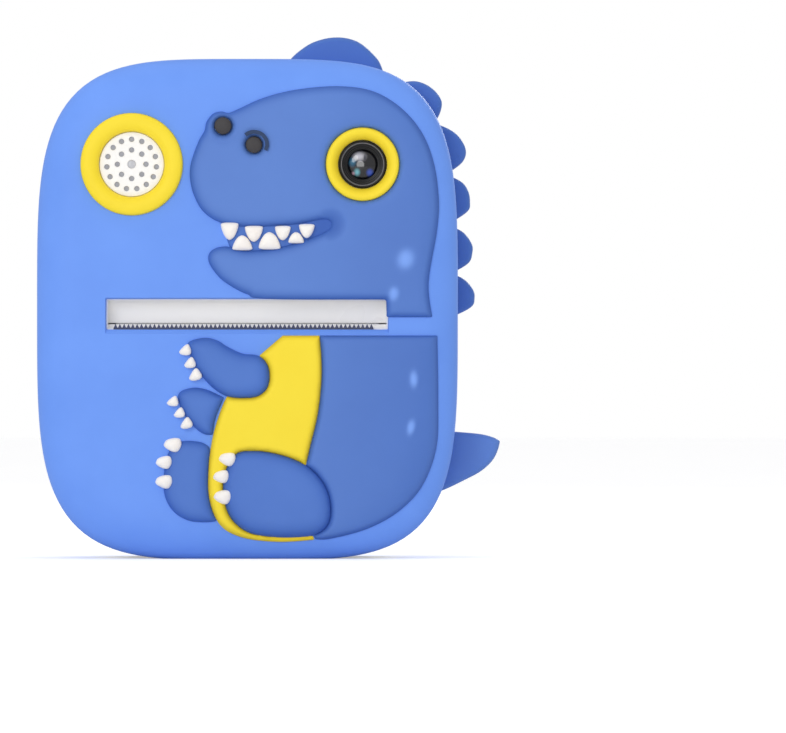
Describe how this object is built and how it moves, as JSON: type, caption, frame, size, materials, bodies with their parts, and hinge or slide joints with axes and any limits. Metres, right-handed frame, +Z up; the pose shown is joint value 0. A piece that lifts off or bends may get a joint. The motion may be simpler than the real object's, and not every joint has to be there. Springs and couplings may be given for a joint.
{
  "type": "kids instant-print digital camera",
  "caption": "Rounded-square toy camera with a thermal printer slot, front and rear lenses, a rear screen with push keys, and a soft jacket with a dinosaur in relief.",
  "frame": {"origin": "centre of the flat base under the rounded-square body", "axes": "+Z up; the front with the paper slot faces -Y; +X is to the right when the front is looked at"},
  "size_m": [0.1007, 0.0469, 0.1135],
  "materials": {
    "jacket_silicone": "matte",
    "dino_silicone": "matte",
    "yellow_silicone": "matte",
    "cream_silicone": "matte",
    "dark_silicone": "matte",
    "white_abs": "satin",
    "key_plastic": "satin",
    "window_acrylic": "gloss",
    "lcd_glass": "gloss",
    "lens_glass": "gloss",
    "black_plastic": "satin",
    "grey_plastic": "satin",
    "gear_acetal": "satin",
    "black_rubber": "matte",
    "thermal_paper": "matte",
    "circuit_board": "satin",
    "battery_foil": "satin",
    "aluminium_sink": "satin",
    "steel": "satin",
    "dark_steel": "satin",
    "pinion_brass": "satin"
  },
  "bodies": {
    "shell": {"jacket": "jacket_silicone", "dino_head": "dino_silicone", "dino_body": "dino_silicone", "belly": "yellow_silicone", "near_arm": "dino_silicone", "far_arm": "dino_silicone", "near_leg": "dino_silicone", "far_leg": "dino_silicone", "teeth": "cream_silicone", "claws": "cream_silicone", "nostrils": "dark_silicone", "back_spikes": "dino_silicone", "tail": "dino_silicone", "speaker_ring": "yellow_silicone", "speaker_grille": "white_abs", "eye_ring": "yellow_silicone", "front_case": "white_abs", "rear_case": "white_abs", "screen_window": "window_acrylic", "lcd_panel": "lcd_glass", "key_switches": "black_plastic", "main_board": "circuit_board", "battery": "battery_foil", "speaker": "black_plastic", "microphone": "steel", "usb_port": "steel", "card_slot": "steel", "front_lens_barrel": "black_plastic", "front_lens_glass": "lens_glass", "front_camera_module": "circuit_board", "rear_lens_barrel": "black_plastic", "rear_lens_glass": "lens_glass", "rear_camera_module": "black_plastic", "printer_frame": "grey_plastic", "print_head": "aluminium_sink", "head_spring": "steel", "idler_axle": "steel", "motor": "steel", "cutter": "dark_steel", "paper_strip": "thermal_paper", "door_hinge_pins": "steel", "case_screws": "steel", "board_screws": "steel"},
    "door": {"paper_door": "white_abs"},
    "roll": {"paper_roll": "thermal_paper"},
    "platen": {"platen_roller": "black_rubber", "platen_shaft": "steel", "platen_gear": "gear_acetal"},
    "idler": {"idler_gear": "gear_acetal"},
    "pinion": {"motor_pinion": "pinion_brass"},
    "card": {"memory_card": "black_plastic"},
    "button_up": {"key_up": "key_plastic"},
    "button_down": {"key_down": "key_plastic"},
    "button_left": {"key_left": "key_plastic"},
    "button_right": {"key_right": "key_plastic"},
    "button_back": {"key_back": "key_plastic"},
    "button_power": {"key_power": "key_plastic"},
    "button_menu": {"key_menu": "key_plastic"},
    "button_flip": {"key_flip": "key_plastic"},
    "button_shoot": {"key_shoot": "key_plastic"}
  },
  "joints": [
    {"name": "press_up", "type": "slide", "parent": "shell", "child": "button_up", "axis": [0, -1, 0], "range_m": [0, 0.0006], "stiffness_N_per_m": 1500},
    {"name": "press_down", "type": "slide", "parent": "shell", "child": "button_down", "axis": [0, -1, 0], "range_m": [0, 0.0006], "stiffness_N_per_m": 1500},
    {"name": "press_left", "type": "slide", "parent": "shell", "child": "button_left", "axis": [0, -1, 0], "range_m": [0, 0.0006], "stiffness_N_per_m": 1500},
    {"name": "press_right", "type": "slide", "parent": "shell", "child": "button_right", "axis": [0, -1, 0], "range_m": [0, 0.0006], "stiffness_N_per_m": 1500},
    {"name": "press_back", "type": "slide", "parent": "shell", "child": "button_back", "axis": [0, -1, 0], "range_m": [0, 0.0006], "stiffness_N_per_m": 1500},
    {"name": "press_power", "type": "slide", "parent": "shell", "child": "button_power", "axis": [0, -1, 0], "range_m": [0, 0.0006], "stiffness_N_per_m": 1500},
    {"name": "press_menu", "type": "slide", "parent": "shell", "child": "button_menu", "axis": [0, -1, 0], "range_m": [0, 0.0006], "stiffness_N_per_m": 1500},
    {"name": "press_flip", "type": "slide", "parent": "shell", "child": "button_flip", "axis": [0, -1, 0], "range_m": [0, 0.0006], "stiffness_N_per_m": 1500},
    {"name": "press_shoot", "type": "slide", "parent": "shell", "child": "button_shoot", "axis": [0, -1, 0], "range_m": [0, 0.0006], "stiffness_N_per_m": 1500},
    {"name": "door_hinge", "type": "hinge", "parent": "shell", "child": "door", "pos_m": [0, 0.0122, 0.00145], "axis": [1, 0, 0], "range_deg": [0, 100]},
    {"name": "roll_spin", "type": "hinge", "parent": "shell", "child": "roll", "pos_m": [0, -0.0007, 0.0176], "axis": [1, 0, 0], "continuous": true},
    {"name": "platen_spin", "type": "hinge", "parent": "shell", "child": "platen", "pos_m": [0, -0.0125, 0.046], "axis": [1, 0, 0], "continuous": true},
    {"name": "idler_spin", "type": "hinge", "parent": "shell", "child": "idler", "pos_m": [0, -0.00702, 0.04088], "axis": [1, 0, 0], "continuous": true},
    {"name": "motor_spin", "type": "hinge", "parent": "shell", "child": "pinion", "pos_m": [0, 0.003, 0.044], "axis": [1, 0, 0], "continuous": true},
    {"name": "card_slide", "type": "slide", "parent": "shell", "child": "card", "axis": [-1, 0, 0], "range_m": [0, 0.012]}
  ],
  "couplings": [
    {"joint": "platen_spin", "follows": "roll_spin", "ratio": -3.125},
    {"joint": "idler_spin", "follows": "roll_spin", "ratio": 4.6875},
    {"joint": "motor_spin", "follows": "roll_spin", "ratio": -11.719}
  ]
}
